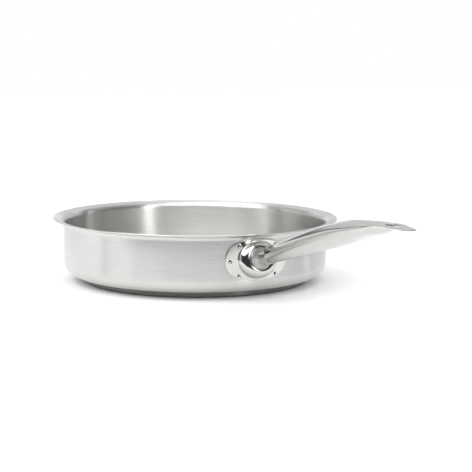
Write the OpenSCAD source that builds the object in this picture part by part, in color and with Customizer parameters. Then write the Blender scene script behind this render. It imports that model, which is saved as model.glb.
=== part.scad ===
// Straight-walled stainless pan with a flared pouring rim, a sandwich base and a hollow tube
// handle that is flattened into a hanging eye. Millimetres, +Z up. The origin is on the pan's
// axis at the underside of the base, and the handle runs along +X.

/* [Pan body] */
// Inside diameter of the straight wall
pan_inner_d = 240; // [200:5:280]
// Thickness of the drawn sheet
body_t = 1; // [0.8:0.1:1.4]
// Height of the rim above the surface that the pan stands on
rim_h = 58; // [56:1:80]
// Outside radius of the corner between floor and wall
corner_r = 12; // [6:1:16]
// How far the pouring lip stands out from the wall
lip_overhang = 9.8; // [7:0.2:12]
// Outside radius of the bend from wall to lip
lip_bend_r = 4.5; // [3:0.5:5]
// Slope of the lip above the horizontal, in degrees
lip_angle = 11; // [6:1:20]

/* [Sandwich base] */
// Diameter of the capped base
base_d = 209; // [160:1:215]
// Height of the base under the pan's floor
base_h = 6; // [4:0.5:8]
// Thickness of the steel cap round the core
cap_t = 0.8; // [0.6:0.1:1]
// Outside radius of the cap's lower edge
cap_edge_r = 2; // [1.2:0.2:3]

/* [Handle flange] */
// Width of the oval plate along the wall
flange_w = 58.4; // [56:0.2:66]
// Height of the oval plate
flange_h = 35.2; // [34.2:0.2:36]
// Thickness of the pressed plate
flange_t = 1.5; // [1.2:0.1:2]
// Width of the bevel round the plate's edge
flange_edge = 0.4; // [0.2:0.1:0.5]
// Distance of the flange's centre below the lip's bend
flange_drop = 16.9; // [16.6:0.1:20]
// Width of the boss where it meets the plate
boss_foot_w = 36.6; // [34:0.2:38]
// Height of the boss where it meets the plate
boss_foot_h = 31.6; // [29:0.2:31.8]
// Radius where the boss rises from the plate
boss_fillet = 0.8; // [0.5:0.1:0.8]
// Diameter of the boss's flat crown
boss_crown_d = 20.2; // [19.8:0.2:22]
// How far the boss stands out from the wall, along the handle
boss_h = 7; // [6:0.2:9]
// Diameter of the spot welds
weld_d = 2; // [1.4:0.2:3]
// Depth of the dimple over each spot weld
weld_dimple = 0.6; // [0.3:0.1:0.9]
// Distance of the outermost spot welds from the flange's centre, along the wall
weld_side = 25.4; // [24.4:0.1:25.8]
// Distance of the corner spot welds from the flange's centre, along the wall
weld_corner_y = 17.6; // [16.6:0.1:18.6]
// Distance of the corner spot welds from the flange's centre, up and down
weld_corner_z = 12.8; // [12:0.1:13.2]
// Width of the weld bead on the boss's crown
bead_w = 2.3; // [1.6:0.1:2.3]
// How far the weld bead rises along the handle's neck
bead_rise = 9.6; // [6:0.2:10]

/* [Handle tube] */
// Length of the handle beyond the pan's wall
handle_len = 231; // [200:1:250]
// Height of the handle's tip above the flange's centre
tip_rise = 55.6; // [50:0.2:62]
// Slope of the handle where it leaves the flange, in degrees
root_angle = 17; // [14:0.2:20]
// Slope of the handle at its tip, in degrees
tip_angle = 3.7; // [0:0.1:8]
// Reach of the root's straight run in the handle's curve
root_reach = 100; // [80:1:110]
// Reach of the tip's straight run in the handle's curve
tip_reach = 66; // [45:1:72]
// Thickness of the tube's wall
tube_t = 1.2; // [0.9:0.1:1.4]
// Diameter of the neck that enters the flange
neck_d = 14.6; // [12.6:0.2:15]
// Length of the neck, from the wall
neck_len = 17.5; // [17.5:0.5:20]
// Width of the shank behind the neck
shank_w = 17; // [15:0.5:20]
// Height of the shank behind the neck
shank_h = 15.2; // [14:0.2:18]
// Distance of the shank from the wall
shank_at = 30; // [26:1:40]
// Width of the grip at its tallest
grip_w = 22; // [19:0.5:25]
// Height of the grip at its tallest
grip_h = 19.2; // [17:0.2:22]
// Distance of the grip's tallest place from the wall
grip_at = 116; // [100:1:126]
// Width of the heel, where the tube begins to flatten
heel_w = 26; // [23:0.5:28]
// Height of the heel
heel_h = 17.2; // [15:0.2:19]
// Distance of the heel from the tip
heel_to_tip = 77; // [68:1:84]
// Width of the handle at its broadest
broad_w = 29; // [26:0.5:32]
// Height of the handle at its broadest
broad_h = 9.6; // [8:0.2:12]
// Distance of the broadest place from the tip
broad_to_tip = 47; // [44:1:52]
// Width of the eye, where the tube is pressed flat
eye_w = 24; // [22:0.5:26]
// Thickness of the eye
eye_t = 1.8; // [1.6:0.1:3.4]
// Distance of the eye's beginning from the tip
eye_to_tip = 32; // [30:0.5:36]
// Width of the tip before its round end
tip_w = 12; // [9:0.5:14]
// Thickness of the tip
tip_t = 1.6; // [1.4:0.1:2.4]
// How far the eye's beginning lies above the handle's curve
eye_lift = 1.6; // [0:0.1:2]
// How far the tip lies below the handle's curve
tip_drop = 1.6; // [0:0.1:2]
// Length of the tip's round end
tip_round = 7; // [5:0.5:9]
// Radius of the hanging hole's broad end
hole_r = 4.6; // [3.6:0.1:4.8]
// Radius of the hanging hole's narrow end
hole_small_r = 2; // [1.5:0.1:3]
// Distance between the centres of the hanging hole's two ends
hole_run = 9; // [6:0.5:10]
// Distance of the hanging hole's broad end from the tip
hole_to_tip = 27; // [26:0.5:29]

/* [Clearances] */
// Gap between curved faces that seat on each other
seat_gap = 0.15; // [0.1:0.05:0.3]
// Gap round the neck in the flange
neck_gap = 0.3; // [0.2:0.05:0.5]

/* [Hidden] */
$fn = 180;

// Pieces of each round stretch of a profile
arc_steps = 10;
fillet_steps = 3;
dome_steps = 8;
// Points round each ring of the flange and of the tube
flange_sides = 64;
tube_sides = 36;
// Stations along the tube's outer and inner skins
outer_stations = 42;
inner_stations = 30;
tip_stations = 7;
// Roundness of the flange's outline: 2 is an ellipse, more is squarer
flange_squareness = 2.5;
// Roundness of the eye's section against the round tube's
eye_squareness = 3.4;
// Length over which the section turns from round to flat
flatten_run = 40;
// Least height left inside the tube where its hollow ends
hollow_min_h = 0.8;
// Half the run over which the tube's slope is taken
slope_step = 0.5;
// Thickness of the weld bead's two edges
bead_edge = 0.3;
// How far the tube's open end stays off the wall
root_gap = 4;
// How far a cutting shape runs past what it cuts
overcut = 2;

wall_r = pan_inner_d / 2 + body_t;
body_z = base_h;
lip_end = [wall_r + lip_overhang - body_t / 2, rim_h - body_t / 2];
bend_mid_r = lip_bend_r + body_t / 2;
lip_run = lip_end[0] - (wall_r + lip_bend_r - bend_mid_r * sin(lip_angle));
flare_z = lip_end[1] - lip_run * tan(lip_angle) - bend_mid_r * cos(lip_angle);
flange_z = flare_z - flange_drop;
core_r = base_d / 2 - cap_t - seat_gap;
core_edge_r = cap_edge_r - cap_t;
plate_back_r = wall_r + seat_gap;
plate_face_r = plate_back_r + flange_t;
hole_in_boss_r = neck_d / 2 + neck_gap;
axis_dir = [cos(root_angle), 0, sin(root_angle)];
boss_centre = [wall_r, 0, flange_z];
tip_point = [wall_r + handle_len, 0, flange_z + tip_rise];
root_pull = boss_centre + root_reach * axis_dir;
tip_pull = tip_point - tip_reach * [cos(tip_angle), 0, sin(tip_angle)];

// Points along an arc in the plane, from one angle to another
function arc(centre, r, from, to, steps = arc_steps) =
    [for (i = [0:steps]) let (a = from + (to - from) * i / steps)
        centre + r * [cos(a), sin(a)]];

function smooth(x) = let (c = min(1, max(0, x))) c * c * (3 - 2 * c);

// A power that keeps the sign of its base
function signed_pow(x, p) = sign(x) * pow(abs(x), p);

// Outside of the sheet, from the axis out along the floor, up the wall and out to the lip
function body_outside() = concat(
    [[0, body_z]],
    arc([wall_r - corner_r, body_z + corner_r], corner_r, -90, 0),
    arc([wall_r + lip_bend_r, flare_z], lip_bend_r, 180, 90 + lip_angle));

// Inside of the sheet, the same way back
function body_inside() = concat(
    arc([wall_r + lip_bend_r, flare_z], lip_bend_r + body_t, 90 + lip_angle, 180),
    arc([wall_r - corner_r, body_z + corner_r], corner_r - body_t, 0, -90),
    [[0, body_z + body_t]]);

module pan_body() {
    color("#c9cac9")
        rotate_extrude()
            polygon(concat(
                body_outside(),
                arc(lip_end, body_t / 2, lip_angle - 90, lip_angle + 90),
                body_inside()));
}

module heat_spreader_disc() {
    color("#b9bcbf")
        rotate_extrude()
            polygon(concat(
                [[0, cap_t]],
                arc([core_r - core_edge_r, cap_t + core_edge_r], core_edge_r, -90, 0),
                [[core_r, body_z], [0, body_z]]));
}

module base_cap() {
    edge = [base_d / 2 - cap_edge_r, cap_edge_r];
    color("#8f9091")
        rotate_extrude()
            polygon(concat(
                [[0, 0]],
                arc(edge, cap_edge_r, -90, 0),
                [[base_d / 2, body_z], [base_d / 2 - cap_t, body_z]],
                arc(edge, cap_edge_r - cap_t, 0, -90),
                [[0, cap_t]]));
}

// A point of the flange: half sizes of its ring, its height off the wall and its squareness.
// Low rings follow the wall's curve, and high ones stand square to the handle.
function flange_point(angle, half_y, half_z, height, squareness) =
    let (lean = smooth((height - flange_t) / (boss_h - 2 * flange_t)))
    let (y = half_y * signed_pow(cos(angle), 2 / squareness))
    let (up = half_z * signed_pow(sin(angle), 2 / squareness))
    let (base_r = plate_back_r + height)
    let (drop = (base_r - sqrt(base_r * base_r - y * y)) * (1 - lean))
    let (tilt = root_angle * lean)
    [base_r * (1 - lean) + (plate_back_r + height * axis_dir[0]) * lean
            - drop - up * sin(tilt),
        y, flange_z + height * axis_dir[2] * lean + up * cos(tilt)];

function flange_ring(half_y, half_z, height, squareness) =
    [for (i = [0:flange_sides - 1])
        flange_point(360 * i / flange_sides, half_y, half_z, height, squareness)];

// The boss from its foot to its crown: share of the way out, extra reach and height.
// A tight fillet rises from the plate, and a dome closes over it.
function boss_skin(low, high) = concat(
    [for (i = [0:fillet_steps]) let (a = 90 * i / fillet_steps)
        [1, boss_fillet * (1 - sin(a)), low + boss_fillet * (1 - cos(a))]],
    [for (i = [1:dome_steps]) let (part = cos(90 * i / dome_steps))
        [part, 0, low + boss_fillet
            + (high - low - boss_fillet) * pow(1 - part * part, 2 / 3)]]);

// Rings of the boss, drawn in by the sheet's thickness for its inside, and the hole in it
function boss_rings(inset, low, high) = concat(
    [for (p = boss_skin(low, high))
        flange_ring(
            boss_crown_d / 2 + (boss_foot_w / 2 - inset - boss_crown_d / 2) * p[0] + p[1],
            boss_crown_d / 2 + (boss_foot_h / 2 - inset - boss_crown_d / 2) * p[0] + p[1],
            p[2], 2)],
    [flange_ring(hole_in_boss_r, hole_in_boss_r, high, 2)]);

function reversed(list) = [for (i = [len(list) - 1:-1:0]) list[i]];

module handle_flange() {
    outline = [for (s = [[flange_edge, 0], [0, flange_edge], [0, flange_t - flange_edge],
            [flange_edge, flange_t]])
        flange_ring(flange_w / 2 - s[0], flange_h / 2 - s[0], s[1], flange_squareness)];
    // Halfway between the boss's foot and the outline
    mid = [for (h = [0, flange_t])
        flange_ring((flange_w + boss_foot_w) / 4, (flange_h + boss_foot_h) / 4 + boss_fillet / 2,
            h, (flange_squareness + 2) / 2)];
    rings = concat(
        reversed(boss_rings(flange_t, 0, boss_h - flange_t)),
        [mid[0]], outline, [mid[1]],
        boss_rings(0, flange_t, boss_h));
    color("#dadbdb")
        difference() {
            ring_loop(rings, flange_sides);
            for (w = weld_places())
                at_weld(w)
                    translate([0, 0, -overcut])
                        cylinder(d = weld_d + 2 * seat_gap, h = flange_t + 2 * overcut, $fn = 24);
        }
}

// A closed solid through rings of points, where the last ring joins the first again
module ring_loop(rings, sides) {
    count = len(rings);
    polyhedron(
        points = [for (r = rings) each r],
        faces = [for (k = [0:count - 1]) for (i = [0:sides - 1])
            let (a = k * sides + i, b = k * sides + (i + 1) % sides)
            let (next = ((k + 1) % count) * sides)
            let (c = next + (i + 1) % sides, d = next + i)
            each [[a, c, b], [a, d, c]]]);
}

// Places of the spot welds: distance along the wall and distance up
function weld_places() = concat(
    [for (side = [-1, 1]) [side * weld_side, 0]],
    [for (side = [-1, 1]) for (up = [-1, 1]) [side * weld_corner_y, up * weld_corner_z]]);

// Stands a shape on the wall at a spot weld, with its +Z pointing out
module at_weld(place) {
    rotate([0, 0, place[0] / plate_face_r * 180 / PI])
        translate([plate_back_r, 0, flange_z + place[1]])
            rotate([0, 90, 0])
                children();
}

module flange_spot_welds() {
    color("#6f7072")
        for (w = weld_places())
            at_weld(w)
                cylinder(d = weld_d, h = flange_t - weld_dimple, $fn = 24);
}

// A ring of weld that tapers from the boss's crown up the handle's neck
module neck_weld_bead() {
    bead_r = neck_d / 2 + seat_gap;
    color("#bfc0c0")
        translate(boss_centre + [seat_gap, 0, 0] + (boss_h + seat_gap) * axis_dir)
            rotate([0, 90 - root_angle, 0])
                rotate_extrude()
                    polygon([
                        [bead_r, 0],
                        [bead_r + bead_w, 0],
                        [bead_r + bead_w, bead_edge],
                        [bead_r + bead_edge, bead_rise],
                        [bead_r, bead_rise]]);
}

// The handle's centre line, a cubic curve from the wall to the tip
function line_point(u) = pow(1 - u, 3) * boss_centre + 3 * pow(1 - u, 2) * u * root_pull
    + 3 * (1 - u) * u * u * tip_pull + pow(u, 3) * tip_point;

function line_slope(u) =
    let (v = pow(1 - u, 2) * (root_pull - boss_centre) + 2 * (1 - u) * u * (tip_pull - root_pull)
        + u * u * (tip_point - tip_pull))
    atan2(v[2], v[0]);

// Where each named section lies: distance from the wall, then width, height and lift there
sections = [
    [0, neck_d, neck_d, 0],
    [neck_len, neck_d, neck_d, 0],
    [shank_at, shank_w, shank_h, 0],
    [grip_at, grip_w, grip_h, 0],
    [handle_len - heel_to_tip, heel_w, heel_h, 0],
    [handle_len - broad_to_tip, broad_w, broad_h, 0],
    [handle_len - eye_to_tip, eye_w, eye_t, eye_lift],
    [handle_len, tip_w, tip_t, -tip_drop]];

// Slope of a size at a section, from its neighbours, and flat at the first and the second
function size_slope(k, j) = k <= 1 || k == len(sections) - 1 ? 0 :
    (sections[k + 1][j] - sections[k - 1][j]) / (sections[k + 1][0] - sections[k - 1][0]);

// A size at a distance from the wall, on a smooth curve through the sections
function size_at(x, j) =
    let (k = max([for (i = [0:len(sections) - 2]) if (x >= sections[i][0] || i == 0) i]))
    let (span = sections[k + 1][0] - sections[k][0])
    let (t = min(1, max(0, (x - sections[k][0]) / span)))
    (2 * pow(t, 3) - 3 * t * t + 1) * sections[k][j]
        + (pow(t, 3) - 2 * t * t + t) * span * size_slope(k, j)
        + (3 * t * t - 2 * pow(t, 3)) * sections[k + 1][j]
        + (pow(t, 3) - t * t) * span * size_slope(k + 1, j);

// A point of the tube's own line: the curve with the flattened end's lift and drop
function tube_point(u) =
    let (p = line_point(u))
    p + [0, 0, size_at(p[0] - wall_r, 3)];

// Slope of the tube's own line
function tube_slope(u) =
    let (x = line_point(u)[0] - wall_r)
    let (lean = (size_at(x + slope_step, 3) - size_at(x - slope_step, 3)) / (2 * slope_step))
    atan(tan(line_slope(u)) + lean);

// The tip's outline closes in a half ellipse
function tip_share(x) =
    let (d = (x - (handle_len - tip_round)) / tip_round)
    d <= 0 ? 1 : sqrt(max(0, 1 - d * d));

// Squareness of the section: round along the grip, and flat-faced in the eye
function squareness_at(x) = 2 + (eye_squareness - 2)
    * smooth((x - (handle_len - eye_to_tip - flatten_run)) / flatten_run);

// A ring of the tube, square to the centre line, drawn in by the wall's thickness
function tube_ring(u, inset) =
    let (p = tube_point(u), slope = tube_slope(u), x = p[0] - wall_r)
    let (half_w = size_at(x, 1) / 2 * tip_share(x) - inset)
    let (half_h = size_at(x, 2) / 2 - inset)
    let (n = squareness_at(x))
    [for (i = [0:tube_sides - 1]) let (a = 360 * i / tube_sides)
        let (side = half_w * signed_pow(cos(a), 2 / n))
        let (up = half_h * signed_pow(sin(a), 2 / n))
        p + [-up * sin(slope), side, up * cos(slope)]];

// Where along the curve a distance from the wall is reached
function curve_at(x, low = 0, high = 1, steps = 24) =
    let (mid = (low + high) / 2)
    steps == 0 ? mid
        : line_point(mid)[0] - wall_r < x ? curve_at(x, mid, high, steps - 1)
        : curve_at(x, low, mid, steps - 1);

// Distance from the wall at which the tube's two walls meet
function hollow_end(x) =
    size_at(x, 2) - 2 * tube_t < hollow_min_h || x > handle_len - eye_to_tip ? x : hollow_end(x + 1);

module tube_blank() {
    root_x = root_gap * axis_dir[0];
    round_x = handle_len - tip_round;
    last_x = hollow_end(grip_at) - 1;
    outer_x = concat(
        [for (i = [0:outer_stations]) root_x + (round_x - root_x) * i / outer_stations],
        [for (i = [1:tip_stations]) round_x + tip_round * sin(90 * i / (tip_stations + 1))]);
    inner_x = [for (i = [0:inner_stations]) root_x + (last_x - root_x) * i / inner_stations];
    outer = [for (x = outer_x) tube_ring(curve_at(x), 0)];
    inner = [for (x = inner_x) tube_ring(curve_at(x), tube_t)];
    rings = concat(reversed(inner), outer);
    last = len(rings) - 1;
    polyhedron(
        points = [for (r = rings) each r],
        faces = concat(
            [for (k = [0:last - 1]) for (i = [0:tube_sides - 1])
                let (a = k * tube_sides + i, b = k * tube_sides + (i + 1) % tube_sides)
                let (c = b + tube_sides, d = a + tube_sides)
                each [[a, c, b], [a, d, c]]],
            [[for (i = [0:tube_sides - 1]) i]],
            [[for (i = [tube_sides - 1:-1:0]) last * tube_sides + i]]));
}

// Outline of the hanging hole: two circles and the straight sides that touch both
module hole_outline() {
    lean = acos((hole_r - hole_small_r) / hole_run);
    circle(r = hole_r, $fn = 48);
    translate([hole_run, 0])
        circle(r = hole_small_r, $fn = 48);
    polygon([
        hole_r * [cos(lean), sin(lean)],
        hole_r * [cos(lean), -sin(lean)],
        [hole_run, 0] + hole_small_r * [cos(lean), -sin(lean)],
        [hole_run, 0] + hole_small_r * [cos(lean), sin(lean)]]);
}

module handle_tube() {
    u = curve_at(handle_len - hole_to_tip);
    cut_h = eye_t + 2 * overcut;
    color("#d4d5d4")
        difference() {
            tube_blank();
            translate(tube_point(u))
                rotate([0, -tube_slope(u), 0])
                    translate([0, 0, -cut_h / 2])
                        linear_extrude(cut_h)
                            hole_outline();
        }
}

pan_body();
heat_spreader_disc();
base_cap();
handle_flange();
flange_spot_welds();
neck_weld_bead();
handle_tube();
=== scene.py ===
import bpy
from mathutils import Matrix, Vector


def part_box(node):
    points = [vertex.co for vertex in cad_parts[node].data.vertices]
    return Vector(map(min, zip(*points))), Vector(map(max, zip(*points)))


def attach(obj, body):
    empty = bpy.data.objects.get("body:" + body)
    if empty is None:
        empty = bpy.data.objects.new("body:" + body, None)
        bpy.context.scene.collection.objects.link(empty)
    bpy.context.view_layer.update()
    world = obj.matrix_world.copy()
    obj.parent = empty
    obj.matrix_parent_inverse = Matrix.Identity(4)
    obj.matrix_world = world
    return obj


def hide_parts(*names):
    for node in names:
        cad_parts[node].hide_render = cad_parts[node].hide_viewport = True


bl_info = {
    "name": "Steel pan with a tube handle",
    "version": (1, 0, 0),
    "blender": (4, 5, 0),
    "location": "View3D > Sidebar > Pan",
    "description": "Finishes a flared steel pan, its pressed flange and its hollow tube handle",
    "category": "Object",
}

from math import acos, atan2, cos, degrees, pi, radians, sin, sqrt, tan
from typing import NamedTuple

import bpy
from bpy.props import FloatProperty, FloatVectorProperty, PointerProperty
from mathutils import Matrix, Quaternion, Vector

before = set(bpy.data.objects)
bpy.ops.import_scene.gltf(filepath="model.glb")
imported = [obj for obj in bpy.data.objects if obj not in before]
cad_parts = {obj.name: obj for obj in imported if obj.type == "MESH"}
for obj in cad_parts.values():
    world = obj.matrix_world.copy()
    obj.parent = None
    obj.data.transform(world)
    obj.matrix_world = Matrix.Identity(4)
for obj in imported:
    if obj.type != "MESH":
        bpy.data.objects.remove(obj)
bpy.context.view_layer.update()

MM = 0.001
BODY_LOW, BODY_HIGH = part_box("pan_body")
CAP_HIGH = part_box("base_cap")[1]
TUBE_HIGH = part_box("handle_tube")[1]
FLANGE_LOW, FLANGE_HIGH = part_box("handle_flange")
FULL_TURN = 2 * pi

# Angle in degrees above which an edge stays sharp: for most pieces, the flange and the tube
CREASE = 32
FLANGE_CREASE = 50
TUBE_CREASE = 28

# How finely the turned shell and cap are divided
TURNED_SIDES = 360
FLOOR_STEPS = 12
WALL_STEPS = 8
CORNER_STEPS = 24
BEND_STEPS = 20
EDGE_STEPS = 12

# How finely the flange is divided, and the form of its boss and its dimples
FLANGE_SIDES = 288
PLATE_STEPS = 36
PLATE_EDGE_TURN = 15
FILLET_STEPS = 8
BOSS_STEPS = 32
BOSS_DOME = 2 / 3
DIMPLE_FLAT = 0.8
DIMPLE_SLOPE = 0.9
SCORCH_SHARE = 0.42
SCORCH_FADE = 1.35

# Columns of the tube's sections, after the distance from the wall
WIDE = 1
HIGH = 2
LIFT = 3

# How finely the tube is divided, where it starts and where its hollow ends
TUBE_SIDES = 120
TUBE_STEPS = 230
TIP_STEPS = 24
BORE_STEPS = 60
TUBE_START = 4 * MM
BORE_END = 0.8 * MM
BORE_STRIDE = 0.5 * MM
TIP_THINNEST = 0.25
HALVINGS = 40
SLOPE_STRIDE = 0.001
DULL_BEFORE = 9 * MM
DULL_AFTER = 3 * MM

# The hanging hole's outline and the flare that rounds its edges
HOLE_BROAD_STEPS = 44
HOLE_NARROW_STEPS = 22
FLARE_END = 70
FLARE_TURN = 10
FLARE_RUN = 2
EYE_DEPTH = 0.97
CUTTER_REACH = 4 * MM

# The weld bead: its thin end, the hollow of its face, its ripples and its slow swells
BEAD_TURNS = 288
BEAD_STEPS = 12
BEAD_LIP = 0.08 * MM
BEAD_HOLLOW = 1.2
BEAD_RIPPLE = 0.02
BEAD_RIPPLES = 52
BEAD_SWELLS = 7

# Noise values between which most of a noise lies, and the levels of the tone at those ends
NOISE_SPAN = (0.35, 0.65)
MOTTLE_SPAN = (0.3, 0.7)
NOISE_MIDDLE = 0.5
BRUSHED_TONES = (0.92, 1.045)
POLISHED_TONES = (0.97, 1.02)
MOTTLED_TONES = (0.75, 1.15)
SCORCH = (0.02, 0.02, 0.02, 1)

# How much the roughness swings with the noise, and the turn that lays gloss along the brushing
BRUSHED_SWING = 0.10
MOTTLED_SWING = 0.2
POLISHED_LEAST = 0.8
POLISHED_SWING = 0.4
BRUSHING_TURN = 0.25

# Colour inputs of a Mix node, and its colour output
FIRST_COLOUR = 6
SECOND_COLOUR = 7
MIXED_COLOUR = 2

# The table as the metal sees it, in metres from the pan's axis: where it ends in front, and
# where and how much it dims behind the pan and at its right
TABLE_FRONT_END = (0.27, 0.5)
TABLE_BACK = (-0.25, 0.1)
TABLE_BACK_SHADE = 0.22
TABLE_RIGHT = (0.14, 0.24)
TABLE_RIGHT_FRONT = (0.06, 0.16)
TABLE_RIGHT_SHADE = 0.32
TABLE_WHITE = (0.92, 0.92, 0.92, 1)
TABLE_GLOW = 0.06
ROOM_DARK = 0.06
WHITE = (1, 1, 1, 1)

SENSOR_MM = 36
NEAREST_SEEN = 10 * MM
KEY_PLACE = (-0.2, -1.6, 1.9)
KEY_TARGET = (0.05, 0.0, 0.0)


class Patch(NamedTuple):
    """A patch of the studio as the metal sees it, by its direction in degrees.

    The side runs from 0 at the camera, to the right and on to 180 behind the pan, and the rise
    is 0 at the horizon. Each edge is where it starts and where it is full, or gone.
    """

    name: str
    level: float
    side_in: tuple = None
    side_out: tuple = None
    rise_in: tuple = None
    rise_out: tuple = None
    both_sides: bool = False


ROOM_LEVEL = 0.76
RIGHT_WALL = {"side_in": (52.5, 55.5), "side_out": (126.5, 129.5)}
BEHIND = {"side_in": (118, 128), "both_sides": True}
STUDIO = (
    Patch("dark room in front, below the lamps", 0.06, side_in=(-68, -48), side_out=(28, 48),
          rise_out=(33, 40)),
    Patch("soft lamp in front", 3.25, side_in=(-91, -77), side_out=(-5, 9), rise_in=(34, 42)),
    Patch("its brighter left part", 5.4, side_in=(-91, -77), side_out=(-41, -27),
          rise_in=(36, 44)),
    Patch("soft lamp right of it", 3.0, side_in=(-1, 7), side_out=(34, 42), rise_in=(36, 42)),
    Patch("right wall", 0.35, **RIGHT_WALL),
    Patch("dark right wall above the table", 0.03, rise_in=(3, 9), **RIGHT_WALL),
    Patch("right wall under the ceiling", 0.32, rise_in=(26, 40), **RIGHT_WALL),
    Patch("gap in the right wall", 1.4, side_in=(109, 111), side_out=(116, 118)),
    Patch("dark post on the left", 0.05, side_in=(-89, -87), side_out=(-82, -80)),
    Patch("strip lamp right of the camera", 3.6, side_in=(40, 41), side_out=(48.5, 49.5),
          rise_in=(0, 4)),
    Patch("backdrop", 0.72, rise_in=(-10.5, -7.5), rise_out=(5.5, 8.5), **BEHIND),
    Patch("bright top of the backdrop", 1.15, rise_in=(6, 8), rise_out=(10, 12), **BEHIND),
    Patch("dark line above the backdrop", 0.2, side_out=(164, 172), rise_in=(10.5, 11.5),
          rise_out=(13.5, 14.5), **BEHIND),
    Patch("dim room above the backdrop", 0.16, rise_in=(20, 27), **BEHIND),
    Patch("pale wall far behind", 1.0, side_in=(140, 150), rise_in=(17, 25), both_sides=True),
    Patch("grey screen behind, on the right", 0.7, side_in=(138, 150), rise_in=(-11, -7),
          rise_out=(22, 26)),
    Patch("pale ceiling", 0.8, rise_in=(52, 64)),
    Patch("wide soft lamp on the ceiling", 3.3, side_in=(-128, -118), side_out=(52.5, 55.5),
          rise_in=(56, 62)),
)


def length(name, default, description):
    """A size in metres that a user can change."""
    return FloatProperty(name=name, description=description, default=default, min=0.0,
                         precision=5, unit="LENGTH", subtype="DISTANCE")


def slope(name, default, description):
    """An angle that a user can change."""
    return FloatProperty(name=name, description=description, default=radians(default),
                         unit="ROTATION", subtype="ANGLE")


def share(name, default, description, highest=1.0):
    """A plain number from 0 up that a user can change."""
    return FloatProperty(name=name, description=description, default=default, min=0.0,
                         max=highest, subtype="FACTOR")


def colour(name, default, description):
    """A colour that a user can change."""
    return FloatVectorProperty(name=name, description=description, default=default, size=3,
                               min=0.0, max=1.0, subtype="COLOR")


class BowlSizes(bpy.types.PropertyGroup):
    """Sizes of the drawn shell and of the cap under it."""

    sheet: length("Sheet", 1 * MM, "Thickness of the drawn sheet")
    corner: length("Corner", 12 * MM, "Outside radius between floor and wall")
    lip_out: length("Lip overhang", 9.8 * MM, "How far the lip stands out from the wall")
    lip_bend: length("Lip bend", 4.5 * MM, "Outside radius from wall to lip")
    lip_rise: slope("Lip rise", 11, "Slope of the lip above the horizontal")
    cap_sheet: length("Cap sheet", 0.8 * MM, "Thickness of the base's steel cap")
    cap_edge: length("Cap edge", 2 * MM, "Outside radius of the cap's lower edge")


class FlangeSizes(bpy.types.PropertyGroup):
    """Sizes of the pressed flange, its boss, its spot welds and the bead."""

    sheet: length("Sheet", 1.5 * MM, "Thickness of the pressed plate")
    edge: length("Edge", 0.4 * MM, "Rounding of the plate's edge")
    height: length("Height", 34.6 * MM, "Height of the centre above the ground")
    seat: length("Seat", 0.15 * MM, "Gap between the plate and the wall")
    foot_wide: length("Boss width", 36.6 * MM, "Width of the boss where it meets the plate")
    foot_high: length("Boss height", 31.6 * MM, "Height of the boss where it meets the plate")
    fillet: length("Boss fillet", 0.8 * MM, "Radius where the boss rises from the plate")
    crown: length("Boss crown", 20.2 * MM, "Diameter of the flat crown of the boss")
    stand: length("Boss stand", 7 * MM, "How far the boss stands out along the handle")
    play: length("Play", 0.3 * MM, "Gap round the handle's neck in the boss")
    squareness: share("Squareness", 2.5, "Roundness of the outline: 2 is an ellipse", 4.0)
    weld: length("Weld", 2 * MM, "Diameter of a spot weld")
    dimple: length("Dimple", 0.6 * MM, "Depth of the dimple over a spot weld")
    weld_side: length("Side weld", 25.4 * MM, "Outermost welds from the centre")
    weld_across: length("Corner weld across", 17.6 * MM, "Corner welds from the centre, across")
    weld_up: length("Corner weld up", 12.8 * MM, "Corner welds from the centre, up and down")
    bead_wide: length("Bead width", 2.3 * MM, "Width of the weld bead on the boss's crown")
    bead_high: length("Bead rise", 9.6 * MM, "How far the weld bead rises along the neck")


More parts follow.
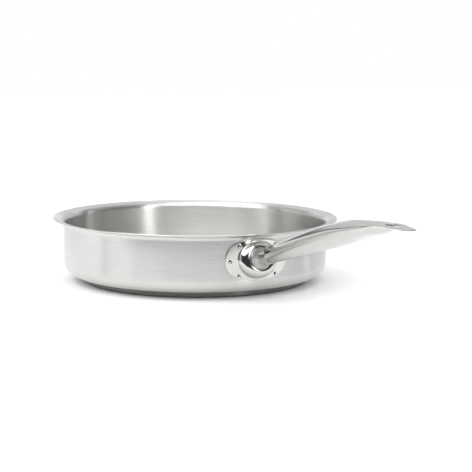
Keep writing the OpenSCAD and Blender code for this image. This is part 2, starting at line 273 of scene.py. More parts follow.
class HandleSizes(bpy.types.PropertyGroup):
    """Sizes of the tube handle."""

    tip_height: length("Tip height", 90.2 * MM, "Height of the tip above the ground")
    root_rise: slope("Root rise", 17, "Slope where the handle leaves the flange")
    tip_rise: slope("Tip rise", 3.7, "Slope at the tip")
    root_reach: length("Root reach", 100 * MM, "Reach of the root's straight run")
    tip_reach: length("Tip reach", 66 * MM, "Reach of the tip's straight run")
    tube_sheet: length("Tube sheet", 1.2 * MM, "Thickness of the tube's wall")
    neck: length("Neck", 14.6 * MM, "Diameter of the neck")
    neck_run: length("Neck run", 17.5 * MM, "Length of the neck, from the wall")
    shank_wide: length("Shank width", 17 * MM, "Width of the shank")
    shank_high: length("Shank height", 15.2 * MM, "Height of the shank")
    shank_at: length("Shank place", 30 * MM, "Distance of the shank from the wall")
    grip_wide: length("Grip width", 22 * MM, "Width of the grip at its tallest")
    grip_high: length("Grip height", 19.2 * MM, "Height of the grip at its tallest")
    grip_at: length("Grip place", 116 * MM, "Distance of the grip from the wall")
    heel_wide: length("Heel width", 26 * MM, "Width where the tube begins to flatten")
    heel_high: length("Heel height", 17.2 * MM, "Height where the tube begins to flatten")
    heel_at: length("Heel place", 77 * MM, "Distance of the heel from the tip")
    broad_wide: length("Broad width", 29 * MM, "Width at the broadest place")
    broad_high: length("Broad height", 9.6 * MM, "Height at the broadest place")
    broad_at: length("Broad place", 47 * MM, "Distance of the broadest place from the tip")
    eye_wide: length("Eye width", 24 * MM, "Width of the flattened eye")
    eye_high: length("Eye thickness", 1.8 * MM, "Thickness of the flattened eye")
    eye_at: length("Eye place", 32 * MM, "Distance of the eye's beginning from the tip")
    tip_wide: length("Tip width", 12 * MM, "Width of the tip before its round end")
    tip_high: length("Tip thickness", 1.6 * MM, "Thickness of the tip")
    eye_lift: length("Eye lift", 1.6 * MM, "How far the eye's beginning lies above the curve")
    tip_drop: length("Tip drop", 1.6 * MM, "How far the tip lies below the curve")
    tip_round: length("Tip round", 7 * MM, "Length of the tip's round end")
    squareness: share("Squareness", 3.4, "Squareness of the eye's section", 6.0)
    flatten_run: length("Flattening", 40 * MM, "Run over which the section squares up")
    hole: length("Hole", 4.6 * MM, "Radius of the hanging hole's broad end")
    hole_small: length("Hole end", 2 * MM, "Radius of the hanging hole's narrow end")
    hole_run: length("Hole run", 9 * MM, "Distance between the centres of its ends")
    hole_at: length("Hole place", 27 * MM, "Distance of its broad end from the tip")
    hole_edge: length("Hole edge", 0.5 * MM, "Rounding of the hanging hole's edges")


class Finishes(bpy.types.PropertyGroup):
    """Colours and polish of the metals."""

    body: colour("Body", (0.748, 0.744, 0.731), "Brushed steel of the shell")
    # The cap's colour is set far darker than its steel: it is painted shade for the recess under
    # the body's corner
    cap: colour("Cap", (0.20, 0.197, 0.19), "Turned steel of the base")
    flange: colour("Flange", (0.63, 0.625, 0.612), "Mirror-polished steel")
    handle: colour("Handle", (0.60, 0.596, 0.584), "Polished steel of the tube")
    weld: colour("Weld", (0.10, 0.095, 0.09), "Scorched steel in a spot weld")
    core: colour("Core", (0.68, 0.69, 0.70), "Rolled aluminium")
    body_roughness: share("Body roughness", 0.292, "Roughness across the brushing")
    body_grain: share("Body grain", 1.0, "Anisotropy of the brushed wall")
    cap_roughness: share("Cap roughness", 0.30, "Roughness across the turning of the cap")
    cap_grain: share("Cap grain", 0.9, "Anisotropy of the turned cap")
    core_roughness: share("Core roughness", 0.4, "Roughness of the aluminium core")
    bead_roughness: share("Bead roughness", 0.42, "Roughness of the weld bead")
    weld_roughness: share("Weld roughness", 0.45, "Roughness of the spot welds")
    neck_dulling: share("Neck dulling", 0.24, "Roughness that the tube's neck has on top")
    handle_roughness: share("Handle roughness", 0.085, "Roughness of the tube")
    flange_roughness: share("Flange roughness", 0.06, "Roughness of the flange")


class StageSettings(bpy.types.PropertyGroup):
    """The camera, the ground and the light."""

    distance: length("Camera distance", 1.3, "Distance of the camera from the pan's axis")
    height: length("Camera height", 223.45 * MM, "Height of the camera above the ground")
    azimuth: slope("Camera azimuth", -25.8, "Direction of the camera from the handle's line")
    turn: slope("Camera turn", 1.66, "How far the camera turns right of the pan's axis")
    roll: slope("Camera roll", 0.46, "How far the camera leans, its left side down")
    dip: slope("Camera dip", 8.056, "How far the camera looks down")
    lens: FloatProperty(name="Lens", description="Focal length on a 36 mm sensor",
                        default=107.99, min=1.0, unit="CAMERA")
    ground: length("Ground", 8, "Width of the floor")
    fill_low: share("Fill", 0.3, "Strength of the soft light from the horizon")
    fill_rise: share("Fill rise", 1.35, "How much more of it comes from overhead", 4.0)
    key_size: length("Key size", 1.2, "Width of the key lamp")
    key_power: FloatProperty(name="Key power", description="Power of the key lamp",
                             default=15.0, min=0.0, unit="POWER")


def ring_arc(centre, radius, start, end, steps):
    """Points of an arc in a plane, with its angles in degrees."""
    angles = [radians(start + (end - start) * i / steps) for i in range(steps + 1)]
    return [(centre[0] + radius * cos(a), centre[1] + radius * sin(a)) for a in angles]


def smooth(value):
    """A soft step from 0 to 1."""
    t = min(1.0, max(0.0, value))
    return t * t * (3 - 2 * t)


def signed_power(base, power):
    """A power that keeps the sign of its base."""
    return abs(base) ** power * (1 if base > 0 else -1)


def shade(mesh, crease):
    """Shades a mesh smooth, with sharp edges above that many degrees."""
    mesh.shade_smooth()
    mesh.set_sharp_from_angle(angle=radians(crease))


def add_piece(name, points, faces, crease=CREASE):
    """A smooth mesh object in the scene."""
    mesh = bpy.data.meshes.new(name)
    mesh.from_pydata([tuple(p) for p in points], [], faces)
    mesh.validate()
    shade(mesh, crease)
    piece = bpy.data.objects.new(name, mesh)
    bpy.context.scene.collection.objects.link(piece)
    return piece


def turned(name, profile, steps):
    """A solid turned about the Z axis, from an open profile with both its ends on the axis."""
    points = [(0, 0, profile[0][1])]
    for r, z in profile[1:-1]:
        turn = [FULL_TURN * i / steps for i in range(steps)]
        points += [(r * cos(a), r * sin(a), z) for a in turn]
    points.append((0, 0, profile[-1][1]))
    rings = len(profile) - 2
    last = len(points) - 1
    faces = []
    for i in range(steps):
        j = (i + 1) % steps
        faces.append((0, 1 + j, 1 + i))
        for k in range(rings - 1):
            a = 1 + k * steps
            b = a + steps
            faces.append((a + i, a + j, b + j, b + i))
        a = 1 + (rings - 1) * steps
        faces.append((a + i, a + j, last))
    return add_piece(name, points, faces)


def lofted(name, rings, closed=False, crease=CREASE):
    """A skin through rings of equal counts: closed into a loop, or capped at both ends."""
    sides = len(rings[0])
    count = len(rings)
    points = [p for ring in rings for p in ring]
    faces = []
    for k in range(count if closed else count - 1):
        a = k * sides
        b = ((k + 1) % count) * sides
        for i in range(sides):
            j = (i + 1) % sides
            faces.append((a + i, b + i, b + j, a + j))
    if not closed:
        faces.append(tuple(range(sides)))
        faces.append(tuple(reversed(range((count - 1) * sides, count * sides))))
    return add_piece(name, points, faces, crease)


class Wire:
    """One output of a shader node, which takes part in plain arithmetic."""

    def __init__(self, graph, socket):
        self.graph = graph
        self.socket = socket

    def maths(self, operation, first, second):
        """A Math node on two values."""
        return self.graph.add("Math", {"operation": operation}, {0: first, 1: second})

    def out(self, name):
        """Another output of the same node."""
        return Wire(self.graph, self.socket.node.outputs[name])

    def __add__(self, other):
        return self.maths("ADD", self, other)

    __radd__ = __add__

    def __sub__(self, other):
        return self.maths("SUBTRACT", self, other)

    def __rsub__(self, other):
        return self.maths("SUBTRACT", other, self)

    def __mul__(self, other):
        return self.maths("MULTIPLY", self, other)

    __rmul__ = __mul__

    def size(self):
        """The value without its sign."""
        return self.maths("ABSOLUTE", self, 0.0)


class Graph:
    """Adds nodes to the shader tree of a material, a lamp or the world."""

    def __init__(self, owner):
        owner.use_nodes = True
        self.tree = owner.node_tree
        self.tree.nodes.clear()

    def add(self, kind, settings=None, sockets=None, output=0):
        """A node of that kind, with its settings and then its sockets, as a Wire."""
        node = self.tree.nodes.new("ShaderNode" + kind)
        for name, value in (settings or {}).items():
            setattr(node, name, value)
        for name, value in (sockets or {}).items():
            if isinstance(value, Wire):
                self.tree.links.new(value.socket, node.inputs[name])
            else:
                node.inputs[name].default_value = value
        return Wire(self, node.outputs[output] if len(node.outputs) else None)

    def step(self, value, low, high):
        """0 below low, 1 above high, and a soft ramp between them."""
        return self.add("MapRange", {"interpolation_type": "SMOOTHSTEP"},
                        {"Value": value, "From Min": low, "From Max": high})

    def along(self, value, way):
        """How far a place or a direction goes that way."""
        return self.add("VectorMath", {"operation": "DOT_PRODUCT"}, {0: value, 1: way}, "Value")

    def blend(self, factor, first, second):
        """A colour between two colours."""
        sockets = {0: factor, FIRST_COLOUR: first, SECOND_COLOUR: second}
        return self.add("Mix", {"data_type": "RGBA"}, sockets, output=MIXED_COLOUR)

    def tone(self, noise, span, base, levels):
        """A base colour that goes from one level to another as a noise rises over a span."""
        low, high = levels
        return self.blend(self.step(noise, *span), rgba(base, low), rgba(base, high))


def new_material(name):
    """A material and the graph of its shader."""
    material = bpy.data.materials.new(name)
    return material, Graph(material)


def rgba(colour_value, level=1.0):
    """A colour times a level, with full alpha."""
    return tuple(c * level for c in colour_value) + (1.0,)


def steel_shader(graph, base, roughness, normal, grain, grain_turn):
    """Joins the parts of a bare metal surface to the material's output."""
    shader = graph.add("BsdfPrincipled", None, {
        "Base Color": base, "Metallic": 1.0, "Roughness": roughness, "Normal": normal,
        "Anisotropic": grain, "Anisotropic Rotation": grain_turn})
    graph.add("OutputMaterial", None, {"Surface": shader})


def brushed_round(name, base, roughness, grain, groove):
    """Steel brushed round the Z axis: lines that run round the wall and round the floor."""
    material, graph = new_material(name)
    place = graph.add("TexCoord", output="Object")
    axes = graph.add("SeparateXYZ", None, {0: place})
    flat = graph.add("VectorMath", {"operation": "MULTIPLY"}, {0: place, 1: (1, 1, 0)})
    out = graph.add("VectorMath", {"operation": "LENGTH"}, {0: flat}, output="Value")
    across = out + axes.out("Z")
    round_angle = axes.maths("ARCTAN2", axes.out("Y"), axes.out("X"))

    def lines(per_metre, along, detail):
        vector = graph.add("CombineXYZ", None, {"X": across * per_metre, "Y": round_angle * along})
        return graph.add("TexNoise", None, {"Vector": vector, "Scale": 1.0, "Detail": detail})

    fine = lines(per_metre=2600, along=5, detail=3)
    broad = lines(per_metre=900, along=1.3, detail=2)
    cloud = graph.add("TexNoise", None, {"Vector": place, "Scale": 14.0, "Detail": 3.0})
    mix = 0.5 * fine + 0.3 * broad + 0.2 * cloud
    tone = graph.tone(mix, NOISE_SPAN, base, BRUSHED_TONES)
    rough = roughness + BRUSHED_SWING * (mix - NOISE_MIDDLE)
    bump = graph.add("Bump", None, {"Strength": 0.25, "Distance": groove, "Height": fine})
    steel_shader(graph, tone, rough, bump, grain, BRUSHING_TURN)
    return material


def polished(name, base, roughness, groove, stretch, spots=(), dull_to=0.0, dulling=0.0):
    """Polished steel, with faint wiping lines, a soft cloud, scorched spots and a dull end."""
    material, graph = new_material(name)
    place = graph.add("TexCoord", output="Object")
    drawn = graph.add("VectorMath", {"operation": "MULTIPLY"}, {0: place, 1: stretch})
    fine = graph.add("TexNoise", None, {"Vector": drawn, "Scale": 1.0, "Detail": 3.0})
    cloud = graph.add("TexNoise", None, {"Vector": place, "Scale": 38.0, "Detail": 2.0})
    mix = 0.55 * fine + 0.45 * cloud
    tone = graph.tone(mix, NOISE_SPAN, base, POLISHED_TONES)
    for spot, reach in spots:
        away = graph.add("VectorMath", {"operation": "DISTANCE"}, {0: place, 1: spot}, "Value")
        tone = graph.blend(graph.step(away, reach, reach * SCORCH_FADE), SCORCH, tone)
    rough = roughness * (POLISHED_LEAST + POLISHED_SWING * mix)
    if dull_to:
        ahead = graph.add("SeparateXYZ", None, {0: place})
        polish = graph.step(ahead, dull_to - DULL_BEFORE, dull_to + DULL_AFTER)
        rough = rough + dulling * (1 - polish)
    bump = graph.add("Bump", None, {"Strength": 0.2, "Distance": groove, "Height": fine})
    steel_shader(graph, tone, rough, bump, 0.0, 0.0)
    return material


def grainy(name, base, roughness, scale):
    """Plain metal with a mottled tone, for welds and for the core."""
    material, graph = new_material(name)
    place = graph.add("TexCoord", output="Object")
    mottle = graph.add("TexNoise", None, {"Vector": place, "Scale": scale, "Detail": 4.0})
    tone = graph.tone(mottle, MOTTLE_SPAN, base, MOTTLED_TONES)
    rough = roughness + MOTTLED_SWING * (mottle - NOISE_MIDDLE)
    bump = graph.add("Bump", None, {"Strength": 0.3, "Distance": 0.05 * MM, "Height": mottle})
    steel_shader(graph, tone, rough, bump, 0.0, 0.0)
    return material


def finish_piece(piece, material, node):
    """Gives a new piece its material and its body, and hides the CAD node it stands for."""
    piece.data.materials.clear()
    piece.data.materials.append(material)
    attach(piece, "root")
    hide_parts(node)


def dress_node(node, material):
    """Gives a CAD node that stays as it is a finished material."""
    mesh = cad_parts[node].data
    mesh.materials.clear()
    mesh.materials.append(material)


def wall_radius(bowl):
    """Outside radius of the straight wall."""
    return BODY_HIGH.y - bowl.lip_out


def shell_profile(bowl):
    """Outline of the drawn sheet: out under the floor, up to the lip and back inside."""
    rise = degrees(bowl.lip_rise)
    wall = wall_radius(bowl)
    low = BODY_LOW.z
    half = bowl.sheet / 2
    lip = (wall + bowl.lip_out - half, BODY_HIGH.z - half)
    bend = bowl.lip_bend + half
    run = lip[0] - (wall + bowl.lip_bend - bend * sin(bowl.lip_rise))
    flare = lip[1] - run * tan(bowl.lip_rise) - bend * cos(bowl.lip_rise)
    corner = (wall - bowl.corner, low + bowl.corner)
    turn = (wall + bowl.lip_bend, flare)
    floor_out = [(corner[0] * i / FLOOR_STEPS, low) for i in range(FLOOR_STEPS)]
    floor_in = [(r, z + bowl.sheet) for r, z in reversed(floor_out)]
    wall_up = [(wall, corner[1] + (flare - corner[1]) * i / WALL_STEPS)
               for i in range(1, WALL_STEPS)]
    wall_down = [(r - bowl.sheet, z) for r, z in reversed(wall_up)]
    return (floor_out + ring_arc(corner, bowl.corner, -90, 0, CORNER_STEPS) + wall_up
            + ring_arc(turn, bowl.lip_bend, 180, 90 + rise, BEND_STEPS)
            + ring_arc(lip, half, rise - 90, rise + 90, EDGE_STEPS)
            + ring_arc(turn, bowl.lip_bend + bowl.sheet, 90 + rise, 180, BEND_STEPS) + wall_down
            + ring_arc(corner, bowl.corner - bowl.sheet, 0, -90, CORNER_STEPS) + floor_in)


def cap_profile(bowl):
    """Outline of the base's cap: out under it, up its side and back inside."""
    radius = CAP_HIGH.x
    edge = (radius - bowl.cap_edge, bowl.cap_edge)
    inner = bowl.cap_edge - bowl.cap_sheet
    low = [(edge[0] * i / FLOOR_STEPS, 0) for i in range(FLOOR_STEPS)]
    inside = [(r, bowl.cap_sheet) for r, z in reversed(low)]
    rim = [(radius, CAP_HIGH.z), (radius - bowl.cap_sheet, CAP_HIGH.z)]
    return (low + ring_arc(edge, bowl.cap_edge, -90, 0, EDGE_STEPS) + rim
            + ring_arc(edge, inner, 0, -90, EDGE_STEPS) + inside)


def weld_places(flange):
    """Places of the spot welds on the plate: distance across and distance up."""
    sides = [(side * flange.weld_side, 0) for side in (-1, 1)]
    corners = [(side * flange.weld_across, up * flange.weld_up)
               for side in (-1, 1) for up in (-1, 1)]
    return sides + corners


def weld_spots(bowl, flange):
    """Where the spot welds scorch the plate's face, and how far from their centres."""
    face = wall_radius(bowl) + flange.seat + flange.sheet - flange.dimple / 2
    spots = []
    for across, up in weld_places(flange):
        turn = across / face
        spots.append(((face * cos(turn), face * sin(turn), flange.height + up),
                      flange.weld * SCORCH_SHARE))
    return spots


def flange_point(flange, wall, rise, angle, half_y, half_z, height, square):
    """A point of the flange. Low rings follow the wall, and high ones stand on the handle."""
    lean = smooth((height - flange.sheet) / (flange.stand - 2 * flange.sheet))
    y = half_y * signed_power(cos(angle), 2 / square)
    up = half_z * signed_power(sin(angle), 2 / square)
    back = wall + flange.seat
    out = back + height
    drop = (out - sqrt(out * out - y * y)) * (1 - lean)
    tilt = rise * lean
    x = out * (1 - lean) + (back + height * cos(rise)) * lean - drop - up * sin(tilt)
    z = flange.height + height * sin(rise) * lean + up * cos(tilt)
    return Vector((x, y, z))


def flange_ring(flange, wall, rise, half_y, half_z, height, square):
    """One closed ring of the flange's skin."""
    turns = [FULL_TURN * i / FLANGE_SIDES for i in range(FLANGE_SIDES)]
    return [flange_point(flange, wall, rise, turn, half_y, half_z, height, square)
            for turn in turns]


def boss_skin(low, high, fillet):
    """The boss from its foot to its crown: share of the way out, extra reach and height."""
    skin = []
    for i in range(FILLET_STEPS + 1):
        a = pi / 2 * i / FILLET_STEPS
        skin.append((1.0, fillet * (1 - sin(a)), low + fillet * (1 - cos(a))))
    for i in range(1, BOSS_STEPS + 1):
        part = cos(pi / 2 * i / BOSS_STEPS)
        dome = (1 - part * part) ** BOSS_DOME
        skin.append((part, 0.0, low + fillet + (high - low - fillet) * dome))
    return skin


def press_dimples(flange, wall, point, depth):
    """Sinks a point of the plate's face where it lies in the dimple of a spot weld."""
    sunk = point.copy()
    for across, up in weld_places(flange):
        face = wall + flange.seat + flange.sheet
        turn = across / face
        radial = Vector((cos(turn), sin(turn), 0))
        sideways = Vector((-sin(turn), cos(turn), 0))
        centre = radial * face + Vector((0, 0, flange.height + up))
        away = point - centre
        distance = sqrt(away.dot(sideways) ** 2 + away.z ** 2)
        reach = distance / (flange.weld / 2)
        sunk -= radial * depth * (1 - smooth((reach - DIMPLE_FLAT) / DIMPLE_SLOPE))
    return sunk


def build_flange(bowl, flange, handle):
    """The pressed flange: plate and boss as one folded sheet."""
    wall = wall_radius(bowl)
    rise = handle.root_rise
    sheet = flange.sheet
    edge = flange.edge
    mouth = handle.neck / 2 + flange.play
    crown = flange.crown / 2
    foot_y = flange.foot_wide / 2
    foot_z = flange.foot_high / 2
    half_y = FLANGE_HIGH.y
    half_z = (FLANGE_HIGH.z - FLANGE_LOW.z) / 2

    def ring(y, z, height, square=2):
        return flange_ring(flange, wall, rise, y, z, height, square)

    def boss(inset, low, high):
        rings = []
        for part, extra, height in boss_skin(low, high, flange.fillet):
            y = crown + (foot_y - inset - crown) * part + extra
            z = crown + (foot_z - inset - crown) * part + extra
            rings.append(ring(y, z, height))
        return rings + [ring(mouth, mouth, high)]

    def plate(part, height, inset):
        y = foot_y + flange.fillet
        z = foot_z + flange.fillet
        square = 2 + (flange.squareness - 2) * part
        return ring(y + (half_y - inset - y) * part, z + (half_z - inset - z) * part,
                    height, square)

    def plate_edge(first, last, height):
        rings = []
        for angle in range(first, last + 1, PLATE_EDGE_TURN):
            a = radians(angle)
            inset = edge * (1 - cos(a))
            rings.append(ring(half_y - inset, half_z - inset, height + edge * sin(a),
                              flange.squareness))
        return rings

    shares = [i / PLATE_STEPS for i in range(1, PLATE_STEPS)]
    rings = list(reversed(boss(sheet, 0, flange.stand - sheet)))
    rings += [plate(part, 0, edge) for part in shares]
    rings += plate_edge(-90, 0, edge) + plate_edge(0, 90, sheet - edge)
    for part in reversed(shares):
        face = plate(part, sheet, edge)
        rings.append([press_dimples(flange, wall, p, flange.dimple) for p in face])
    rings += boss(0, sheet, flange.stand)
    return lofted("handle_flange_pressed", rings, closed=True, crease=FLANGE_CREASE)


class HandleLine:
    """The handle's centre line and the sections along it."""

    def __init__(self, bowl, flange, handle):
        self.handle = handle
        wall = wall_radius(bowl)
        self.wall = wall
        self.span = TUBE_HIGH.x - wall
        root_way = Vector((cos(handle.root_rise), 0, sin(handle.root_rise)))
        tip_way = Vector((cos(handle.tip_rise), 0, sin(handle.tip_rise)))
        self.root = Vector((wall, 0, flange.height))
        self.tip = Vector((TUBE_HIGH.x, 0, handle.tip_height))
        self.root_pull = self.root + handle.root_reach * root_way
        self.tip_pull = self.tip - handle.tip_reach * tip_way
        h = handle
        self.sections = [
            (0, h.neck, h.neck, 0),
            (h.neck_run, h.neck, h.neck, 0),
            (h.shank_at, h.shank_wide, h.shank_high, 0),
            (h.grip_at, h.grip_wide, h.grip_high, 0),
            (self.span - h.heel_at, h.heel_wide, h.heel_high, 0),
            (self.span - h.broad_at, h.broad_wide, h.broad_high, 0),
            (self.span - h.eye_at, h.eye_wide, h.eye_high, h.eye_lift),
            (self.span, h.tip_wide, h.tip_high, -h.tip_drop)]

    def curve(self, u):
        """The plain cubic curve from the wall to the tip."""
        v = 1 - u
        return (v ** 3 * self.root + 3 * v * v * u * self.root_pull
                + 3 * v * u * u * self.tip_pull + u ** 3 * self.tip)

    def point(self, u):
        """The curve with the flattened end's own lift and drop."""
        place = self.curve(u)
        return place + Vector((0, 0, self.size(place.x - self.wall, LIFT)))

    def angle(self, u):
        """Slope of the tube there."""
        way = self.point(min(1.0, u + SLOPE_STRIDE)) - self.point(max(0.0, u - SLOPE_STRIDE))
        return atan2(way.z, way.x)

    def at(self, x):
        """Where along the curve a distance from the wall is reached."""
        low, high = 0.0, 1.0
        for _ in range(HALVINGS):
            mid = (low + high) / 2
            if self.curve(mid).x - self.wall < x:
                low = mid
            else:
                high = mid
        return mid

    def steepness(self, k, column):
        """Slope of a size at a section, from its neighbours."""
        if k <= 1 or k == len(self.sections) - 1:
            return 0.0
        before, after = self.sections[k - 1], self.sections[k + 1]
        return (after[column] - before[column]) / (after[0] - before[0])

    def size(self, x, column):
        """A size at a distance from the wall, on a smooth curve through the sections."""
        k = max([i for i in range(len(self.sections) - 1) if x >= self.sections[i][0] or i == 0])
        here, there = self.sections[k], self.sections[k + 1]
        gap = there[0] - here[0]
        t = min(1.0, max(0.0, (x - here[0]) / gap))
        return ((2 * t ** 3 - 3 * t * t + 1) * here[column]
                + (t ** 3 - 2 * t * t + t) * gap * self.steepness(k, column)
                + (3 * t * t - 2 * t ** 3) * there[column]
                + (t ** 3 - t * t) * gap * self.steepness(k + 1, column))

    def ring(self, x, inset):
        """A ring of the tube, square to the centre line."""
        handle = self.handle
        u = self.at(x)
        p = self.point(u)
        tilt = self.angle(u)
        past = (x - (self.span - handle.tip_round)) / handle.tip_round
        closing = sqrt(max(0.0, 1 - past * past)) if past > 0 else 1.0
        half_w = self.size(x, WIDE) / 2 * closing - inset
        half_h = self.size(x, HIGH) / 2 * sqrt(max(closing, TIP_THINNEST)) - inset
        flat = (x - (self.span - handle.eye_at - handle.flatten_run)) / handle.flatten_run
        power = 2 / (2 + (handle.squareness - 2) * smooth(flat))
        ring = []
        for i in range(TUBE_SIDES):
            a = FULL_TURN * i / TUBE_SIDES
            side = half_w * signed_power(cos(a), power)
            up = half_h * signed_power(sin(a), power)
            ring.append(p + Vector((-up * sin(tilt), side, up * cos(tilt))))
        return ring


def hole_outline(handle, grow):
    """Outline of the hanging hole: two arcs and the straight sides that touch both."""
    lean = degrees(acos((handle.hole - handle.hole_small) / handle.hole_run))
    broad = ring_arc((0, 0), handle.hole + grow, lean, 360 - lean, HOLE_BROAD_STEPS)
    narrow = ring_arc((handle.hole_run, 0), handle.hole_small + grow, -lean, lean,
                      HOLE_NARROW_STEPS)
    return broad + narrow


def hole_cutter(line):
    """A flared plug that cuts the hanging hole and rounds its edges."""
    handle = line.handle
    u = line.at(line.span - handle.hole_at)
    stand = Matrix.Translation(line.point(u)) @ Matrix.Rotation(-line.angle(u), 4, "Y")
    half = handle.eye_high / 2 * EYE_DEPTH
    edge = handle.hole_edge
    levels = [(0.0, 0.0)]
    for angle in range(0, FLARE_END + 1, FLARE_TURN):
        a = radians(angle)
        levels.append((half - edge + edge * sin(a), edge * (1 - cos(a))))
    end = radians(FLARE_END)
    run = edge * FLARE_RUN
    levels.append((levels[-1][0] + run * cos(end), levels[-1][1] + run * sin(end)))
    levels.append((levels[-1][0] + CUTTER_REACH, levels[-1][1]))
    both = [(-z, grow) for z, grow in reversed(levels[1:])] + levels
    rings = []
    for z, grow in both:
        rings.append([stand @ Vector((x, y, z)) for x, y in hole_outline(handle, grow)])
    return lofted("hanging_hole_cutter", [list(reversed(r)) for r in rings])


def cut_from(piece, cutter):
    """Cuts one solid out of another and drops the cutter."""
    cut = piece.modifiers.new("hanging_hole", "BOOLEAN")
    cut.operation = "DIFFERENCE"
    cut.solver = "EXACT"
    cut.object = cutter
    bpy.context.view_layer.update()
    graph = bpy.context.evaluated_depsgraph_get()
    mesh = bpy.data.meshes.new_from_object(piece.evaluated_get(graph))
    piece.modifiers.clear()
    old = piece.data
    piece.data = mesh
    bpy.data.meshes.remove(old)
    bpy.data.objects.remove(cutter)
    shade(mesh, TUBE_CREASE)


def build_handle(line):
    """The formed tube, hollow to where its two walls meet, with its hanging hole."""
    handle = line.handle
    root_x = TUBE_START * cos(handle.root_rise)
    round_x = line.span - handle.tip_round
    outer_x = [root_x + (round_x - root_x) * i / TUBE_STEPS for i in range(TUBE_STEPS + 1)]
    outer_x += [round_x + handle.tip_round * sin(pi / 2 * i / TIP_STEPS)
                for i in range(1, TIP_STEPS)]
    end_x = handle.grip_at
    while line.size(end_x, HIGH) - 2 * handle.tube_sheet > BORE_END:
        end_x += BORE_STRIDE
    inner_x = [root_x + (end_x - root_x) * i / BORE_STEPS for i in range(BORE_STEPS + 1)]
    rings = [line.ring(x, handle.tube_sheet) for x in reversed(inner_x)]
    rings += [line.ring(x, 0) for x in outer_x]
    piece = lofted("handle_tube_formed", rings)
    cut_from(piece, hole_cutter(line))
    return piece


def build_bead(bowl, flange, handle):
    """The weld bead round the neck: a hollow-faced ring with the ripples of hand welding."""
    way = Vector((cos(handle.root_rise), 0, sin(handle.root_rise)))
    inner = handle.neck / 2 + flange.seat
    start = Vector((wall_radius(bowl) + flange.seat, 0, flange.height))
    centre = start + way * (flange.stand + flange.seat)
    across = Vector((0, 1, 0))
    up = way.cross(across)
    section = [(0.0, 0.0), (flange.bead_wide, 0.0)]
    for i in range(BEAD_STEPS + 1):
        t = i / BEAD_STEPS
        section.append((BEAD_LIP + (flange.bead_wide - BEAD_LIP) * (1 - t) ** BEAD_HOLLOW,
                        BEAD_LIP + (flange.bead_high - BEAD_LIP) * t))
    section.append((0.0, flange.bead_high))
    rings = []
    for i in range(BEAD_TURNS):
        a = FULL_TURN * i / BEAD_TURNS
        out = across * cos(a) + up * sin(a)
        waves = 2 + sin(BEAD_RIPPLES * a) + sin(BEAD_SWELLS * a + 1)
        ripple = 1 - BEAD_RIPPLE * waves
        rings.append([centre + out * (inner + r * ripple) + way * (h * ripple)
                      for r, h in section])
    return lofted("neck_weld_bead_round", rings, closed=True)


class DressBody(bpy.types.Operator):
    """Makes the shell with its floor, wall and flared rim."""

    bl_idname = "pan.dress_body"
    bl_label = "Pan body"

    def execute(self, context):
        scene = context.scene
        finish = scene.pan_finishes
        steel = brushed_round("body_brushed_steel", finish.body, finish.body_roughness,
                              finish.body_grain, groove=0.004 * MM)
        piece = turned("pan_body_drawn", shell_profile(scene.pan_bowl), TURNED_SIDES)
        finish_piece(piece, steel, "pan_body")
        return {"FINISHED"}


class DressBase(bpy.types.Operator):
    """Makes the base's cap and finishes the core inside it."""

    bl_idname = "pan.dress_base"
    bl_label = "Sandwich base"

    def execute(self, context):
        scene = context.scene
        finish = scene.pan_finishes
        # The cap's steel is darkened here to paint the shade that falls in the recess under the
        # body's corner
        steel = brushed_round("cap_steel_painted_shade", finish.cap, finish.cap_roughness,
                              finish.cap_grain, groove=0.01 * MM)
        piece = turned("base_cap_turned", cap_profile(scene.pan_bowl), TURNED_SIDES)
        finish_piece(piece, steel, "base_cap")
        dress_node("heat_spreader_disc",
                   grainy("core_aluminium", finish.core, finish.core_roughness, scale=60.0))
        return {"FINISHED"}


class DressFlange(bpy.types.Operator):
    """Makes the pressed flange and the bead, and finishes the spot welds."""

    bl_idname = "pan.dress_flange"
    bl_label = "Handle flange"

    def execute(self, context):
        scene = context.scene
        finish = scene.pan_finishes
        spots = weld_spots(scene.pan_bowl, scene.pan_flange)
        mirror = polished("flange_mirror_steel", finish.flange, finish.flange_roughness,
                          groove=0.002 * MM, stretch=(300, 300, 300), spots=spots)
        plate = build_flange(scene.pan_bowl, scene.pan_flange, scene.pan_handle)
        finish_piece(plate, mirror, "handle_flange")
        bead = build_bead(scene.pan_bowl, scene.pan_flange, scene.pan_handle)
        weld_steel = grainy("bead_steel", finish.flange, finish.bead_roughness, scale=900.0)
        finish_piece(bead, weld_steel, "neck_weld_bead")
        scorched = grainy("weld_scorched_steel", finish.weld, finish.weld_roughness, scale=1500.0)
        dress_node("flange_spot_welds", scorched)
        return {"FINISHED"}


class DressHandle(bpy.types.Operator):
    """Makes the tube handle with its flattened eye and hanging hole."""

    bl_idname = "pan.dress_handle"
    bl_label = "Tube handle"

    def execute(self, context):
        scene = context.scene
        finish = scene.pan_finishes
        line = HandleLine(scene.pan_bowl, scene.pan_flange, scene.pan_handle)
        steel = polished("handle_polished_steel", finish.handle, finish.handle_roughness,
                         groove=0.003 * MM, stretch=(60, 2200, 2200),
                         dull_to=line.wall + line.handle.shank_at,
                         dulling=finish.neck_dulling)
        finish_piece(build_handle(line), steel, "handle_tube")
        return {"FINISHED"}


def view_ways(stage):
    """The directions toward the camera and to its right, along the ground."""
    around = stage.azimuth
    return (cos(around), sin(around), 0), (-sin(around), cos(around), 0)


def patch_mask(graph, patch, side, rise):
    """1 inside a patch and 0 outside it."""
    if patch.both_sides:
        side = side.size()
    mask = 1.0
    for value, edge in ((side, patch.side_in), (rise, patch.rise_in)):
        if edge:
            mask = mask * graph.step(value, *edge)
    for value, edge in ((side, patch.side_out), (rise, patch.rise_out)):
        if edge:
            mask = mask * (1 - graph.step(value, *edge))
    return mask


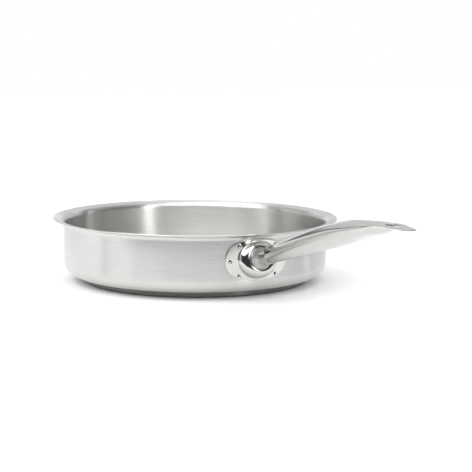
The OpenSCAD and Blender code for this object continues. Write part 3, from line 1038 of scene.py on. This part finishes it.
def studio_level(graph, way, stage):
    """Brightness of the studio as the metal sees it, by the direction of the reflection."""
    toward, rightward = view_ways(stage)
    aside = graph.along(way, rightward)
    side = aside.maths("ARCTAN2", aside, graph.along(way, toward)) * degrees(1)
    height = graph.add("SeparateXYZ", None, {0: way}).out("Z")
    rise = height.maths("ARCSINE", height, 0.0) * degrees(1)
    level = ROOM_LEVEL
    for patch in STUDIO:
        level = level + patch_mask(graph, patch, side, rise) * (patch.level - level)
    return level


def studio_world(stage):
    """A white room to the camera, with the studio's brighter and darker sides in the gloss."""
    world = bpy.data.worlds.new("studio")
    bpy.context.scene.world = world
    graph = Graph(world)
    way = graph.add("TexCoord", output="Generated")
    ray = graph.add("LightPath")
    gloss = graph.add("Math", {"operation": "MAXIMUM"},
                      {0: ray.out("Is Glossy Ray"), 1: ray.out("Is Transmission Ray")})
    seen = graph.add("Background", None, {"Color": WHITE, "Strength": 1.0})
    height = graph.add("SeparateXYZ", None, {0: way}).out("Z")
    soft = stage.fill_low + stage.fill_rise * height
    fill = graph.add("Background", None, {"Color": WHITE, "Strength": soft})
    room = graph.add("Background", None,
                     {"Color": WHITE, "Strength": studio_level(graph, way, stage)})
    either = graph.add("MixShader", None, {0: gloss, 1: fill, 2: room})
    both = graph.add("MixShader", None, {0: ray.out("Is Camera Ray"), 1: either, 2: seen})
    graph.add("OutputWorld", None, {"Surface": both})


def lay_floor(stage):
    """A plain white floor that keeps the pan's shadow and darkens past the table in the gloss."""
    half = stage.ground / 2
    corners = [(-half, -half, 0), (half, -half, 0), (half, half, 0), (-half, half, 0)]
    floor = add_piece("floor", corners, [(0, 1, 2, 3)])
    material, graph = new_material("floor_white")
    matt = graph.add("BsdfDiffuse", None, {"Color": TABLE_WHITE})
    glow = graph.add("Emission", None, {"Color": WHITE, "Strength": TABLE_GLOW})
    table = graph.add("AddShader", None, {0: matt, 1: glow})
    dark = graph.add("Emission", None, {"Color": WHITE, "Strength": ROOM_DARK})
    toward, rightward = view_ways(stage)
    place = graph.add("TexCoord", output="Object")
    ahead = graph.along(place, toward)
    aside = graph.along(place, rightward)
    away = (graph.step(ahead, *TABLE_FRONT_END)
            + TABLE_BACK_SHADE * (1 - graph.step(ahead, *TABLE_BACK)))
    right = graph.step(aside, *TABLE_RIGHT) * (1 - graph.step(ahead, *TABLE_RIGHT_FRONT))
    away = away + TABLE_RIGHT_SHADE * right * (1 - away)
    past = away * graph.add("LightPath").out("Is Glossy Ray")
    both = graph.add("MixShader", None, {0: past, 1: table, 2: dark})
    graph.add("OutputMaterial", None, {"Surface": both})
    floor.data.materials.append(material)


def add_lamp(name, place, target, width, power):
    """A square soft lamp that lights the floor and stays out of the reflections."""
    lamp = bpy.data.lights.new(name, "AREA")
    lamp.size = width
    lamp.energy = power
    piece = bpy.data.objects.new(name, lamp)
    piece.location = place
    piece.rotation_euler = (Vector(target) - Vector(place)).to_track_quat("-Z", "Y").to_euler()
    piece.visible_glossy = False
    bpy.context.scene.collection.objects.link(piece)


def set_camera(stage):
    """The camera at the photograph's viewing angle."""
    camera = bpy.data.cameras.new("camera")
    camera.sensor_width = SENSOR_MM
    camera.lens = stage.lens
    camera.clip_start = NEAREST_SEEN
    piece = bpy.data.objects.new("camera", camera)
    around = stage.azimuth
    piece.location = (stage.distance * cos(around), stage.distance * sin(around), stage.height)
    heading = pi + around - stage.turn
    way = Vector((cos(heading) * cos(stage.dip), sin(heading) * cos(stage.dip), -sin(stage.dip)))
    level = way.to_track_quat("-Z", "Y")
    piece.rotation_euler = (level @ Quaternion((0, 0, 1), stage.roll)).to_euler()
    bpy.context.scene.collection.objects.link(piece)
    bpy.context.scene.camera = piece


class SetStage(bpy.types.Operator):
    """Sets the camera, the floor, the lamp and the surrounding studio."""

    bl_idname = "pan.set_stage"
    bl_label = "Stage"

    def execute(self, context):
        stage = context.scene.pan_stage
        context.scene.view_settings.view_transform = "Standard"
        set_camera(stage)
        studio_world(stage)
        lay_floor(stage)
        add_lamp("key", KEY_PLACE, KEY_TARGET, stage.key_size, stage.key_power)
        return {"FINISHED"}


class PanPanel(bpy.types.Panel):
    """Lists the pan's operators and its main settings."""

    bl_idname = "PAN_PT_panel"
    bl_label = "Pan"
    bl_space_type = "VIEW_3D"
    bl_region_type = "UI"
    bl_category = "Pan"

    def draw(self, context):
        column = self.layout.column()
        for operator in OPERATORS:
            column.operator(operator.bl_idname)
        column.prop(context.scene.pan_finishes, "body")
        column.prop(context.scene.pan_finishes, "handle")


SETTINGS = {
    "pan_bowl": BowlSizes,
    "pan_flange": FlangeSizes,
    "pan_handle": HandleSizes,
    "pan_finishes": Finishes,
    "pan_stage": StageSettings,
}
OPERATORS = (SetStage, DressBody, DressBase, DressFlange, DressHandle)


def register():
    for kind in (*SETTINGS.values(), *OPERATORS, PanPanel):
        bpy.utils.register_class(kind)
    for name, kind in SETTINGS.items():
        setattr(bpy.types.Scene, name, PointerProperty(type=kind))


def unregister():
    for name in SETTINGS:
        delattr(bpy.types.Scene, name)
    for kind in reversed((*SETTINGS.values(), *OPERATORS, PanPanel)):
        bpy.utils.unregister_class(kind)


def main():
    register()
    bpy.ops.pan.set_stage()
    bpy.ops.pan.dress_body()
    bpy.ops.pan.dress_base()
    bpy.ops.pan.dress_flange()
    bpy.ops.pan.dress_handle()


if __name__ == "__main__":
    main()
